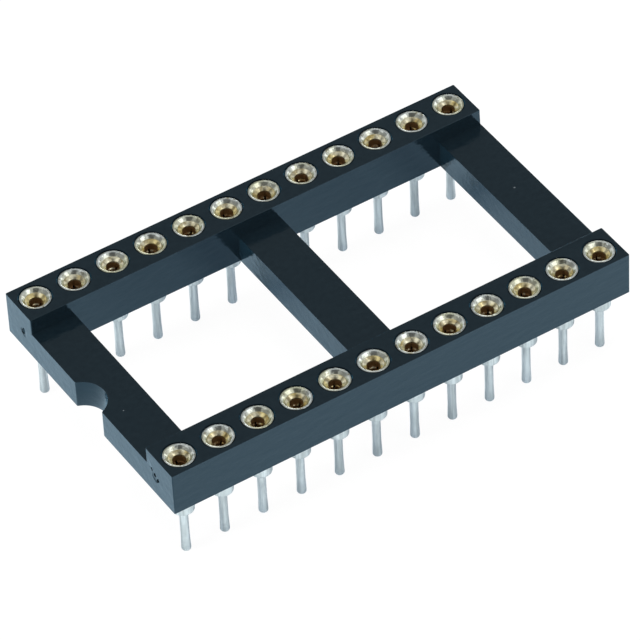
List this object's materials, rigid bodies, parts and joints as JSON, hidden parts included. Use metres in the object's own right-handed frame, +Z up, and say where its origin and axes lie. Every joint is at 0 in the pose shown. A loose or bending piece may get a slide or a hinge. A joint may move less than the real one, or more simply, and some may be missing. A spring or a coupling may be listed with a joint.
{
  "type": "ic socket",
  "caption": "Open-frame dual-in-line chip socket with turned sleeve contacts in two rows, cross bars and a half-round notch at one end.",
  "frame": {"origin": "centre of the contact pattern in the board plane, where the collars' undersides rest", "axes": "+X along the rows away from the notched end, +Y from contact 1's row to contact 24's row, +Z up to the side where the chip plugs in"},
  "size_m": [0.0304, 0.0178, 0.0074],
  "materials": {
    "moulded_black": "satin black moulded polyester with a blue-grey sheen",
    "tin_plate": "bright tin over turned brass",
    "gold_plate": "thin gold flash over spring copper"
  },
  "bodies": {
    "root": {"insulator_frame": "moulded_black", "contact_sleeve_01": "tin_plate", "contact_sleeve_02": "tin_plate", "contact_sleeve_03": "tin_plate", "contact_sleeve_04": "tin_plate", "contact_sleeve_05": "tin_plate", "contact_sleeve_06": "tin_plate", "contact_sleeve_07": "tin_plate", "contact_sleeve_08": "tin_plate", "contact_sleeve_09": "tin_plate", "contact_sleeve_10": "tin_plate", "contact_sleeve_11": "tin_plate", "contact_sleeve_12": "tin_plate", "contact_sleeve_13": "tin_plate", "contact_sleeve_14": "tin_plate", "contact_sleeve_15": "tin_plate", "contact_sleeve_16": "tin_plate", "contact_sleeve_17": "tin_plate", "contact_sleeve_18": "tin_plate", "contact_sleeve_19": "tin_plate", "contact_sleeve_20": "tin_plate", "contact_sleeve_21": "tin_plate", "contact_sleeve_22": "tin_plate", "contact_sleeve_23": "tin_plate", "contact_sleeve_24": "tin_plate", "contact_clip_01": "gold_plate", "contact_clip_02": "gold_plate", "contact_clip_03": "gold_plate", "contact_clip_04": "gold_plate", "contact_clip_05": "gold_plate", "contact_clip_06": "gold_plate", "contact_clip_07": "gold_plate", "contact_clip_08": "gold_plate", "contact_clip_09": "gold_plate", "contact_clip_10": "gold_plate", "contact_clip_11": "gold_plate", "contact_clip_12": "gold_plate", "contact_clip_13": "gold_plate", "contact_clip_14": "gold_plate", "contact_clip_15": "gold_plate", "contact_clip_16": "gold_plate", "contact_clip_17": "gold_plate", "contact_clip_18": "gold_plate", "contact_clip_19": "gold_plate", "contact_clip_20": "gold_plate", "contact_clip_21": "gold_plate", "contact_clip_22": "gold_plate", "contact_clip_23": "gold_plate", "contact_clip_24": "gold_plate"}
  },
  "joints": []
}
